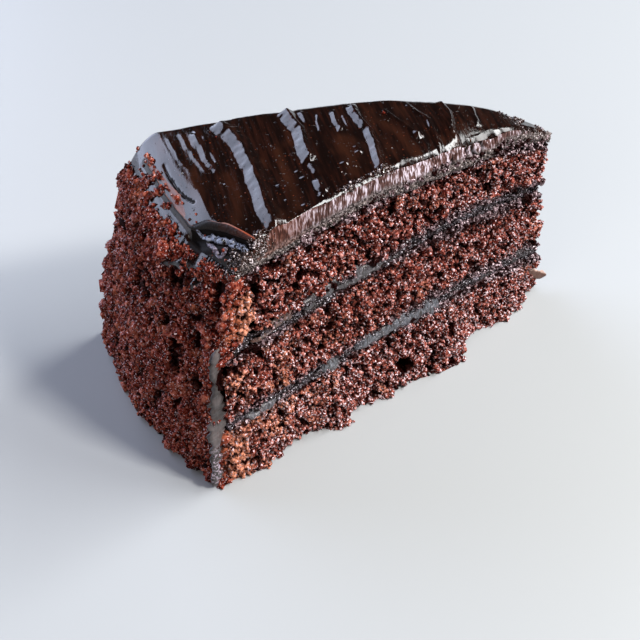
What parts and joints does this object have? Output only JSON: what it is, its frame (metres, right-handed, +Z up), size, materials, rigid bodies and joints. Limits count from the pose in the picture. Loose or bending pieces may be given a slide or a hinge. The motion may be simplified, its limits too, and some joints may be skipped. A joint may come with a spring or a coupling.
{
  "type": "chocolate cake slice",
  "caption": "Wedge cut from a round layer cake: sponges parted by thin fillings, a ridged glossy top coat, and a side coat rough with pressed-on crumbs.",
  "frame": {"origin": "centre of the bounding box in plan, on the flat base", "axes": "+X from the round outer wall towards the pointed tip, along the wedge's middle; +Z up"},
  "size_m": [0.1306, 0.0676, 0.0787],
  "materials": {
    "sponge": "open dark reddish-brown crumb, slightly moist",
    "filling": "soft ganache, satin where a knife has smeared it",
    "ganache": "glossy near-black chocolate, matte on the cut",
    "crumb_coat": "coarse crumbs pressed into ganache"
  },
  "bodies": {
    "root": {"sponge_bottom": "sponge", "filling_lower": "filling", "sponge_middle": "sponge", "filling_upper": "filling", "sponge_top": "sponge", "ganache_top": "ganache", "crumb_coat_side": "crumb_coat"}
  },
  "joints": []
}
